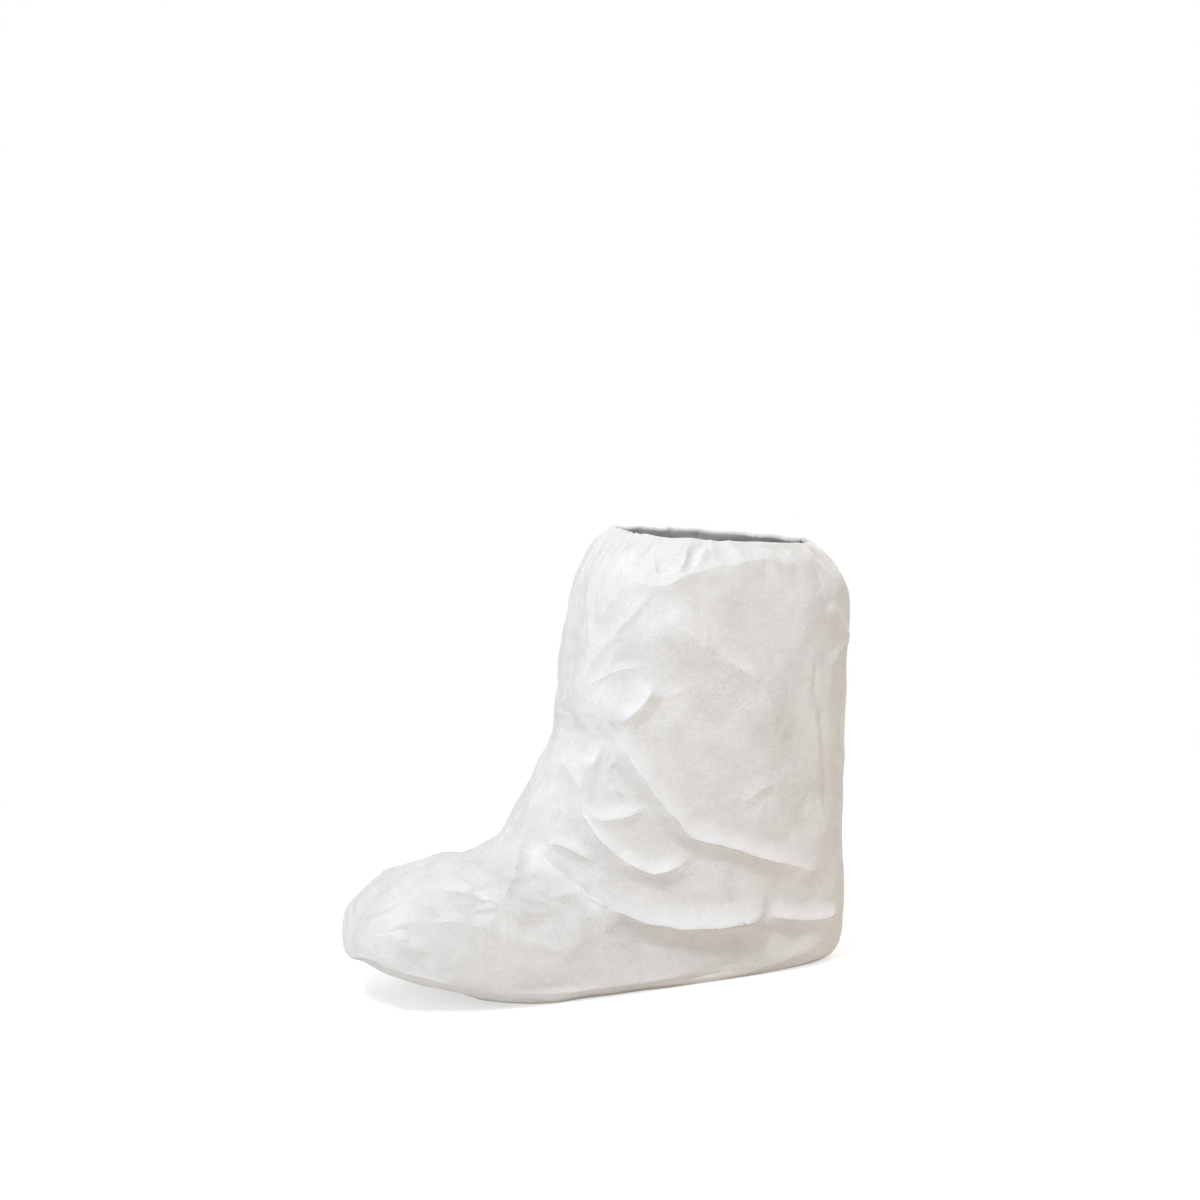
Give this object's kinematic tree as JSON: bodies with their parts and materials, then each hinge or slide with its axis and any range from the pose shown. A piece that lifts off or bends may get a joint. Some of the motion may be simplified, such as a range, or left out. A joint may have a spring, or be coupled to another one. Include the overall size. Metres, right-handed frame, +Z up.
{
  "type": "boot cover",
  "caption": "High disposable nonwoven boot cover with a gathered elastic cuff, a centre seam and a full, crumpled leg over a wide foot.",
  "frame": {"origin": "on the floor, under the middle of the cover's box", "axes": "+Z up, from the sole to the cuff; +X from the toe to the heel; -Y is the left panel"},
  "size_m": [0.3544, 0.1246, 0.3004],
  "materials": {
    "nonwoven": "matt white laminated nonwoven with a fine point-bond emboss",
    "elastic": "off-white covered elastic"
  },
  "bodies": {
    "root": {"left_panel": "nonwoven", "right_panel": "nonwoven", "cuff_elastic": "elastic"}
  },
  "joints": []
}
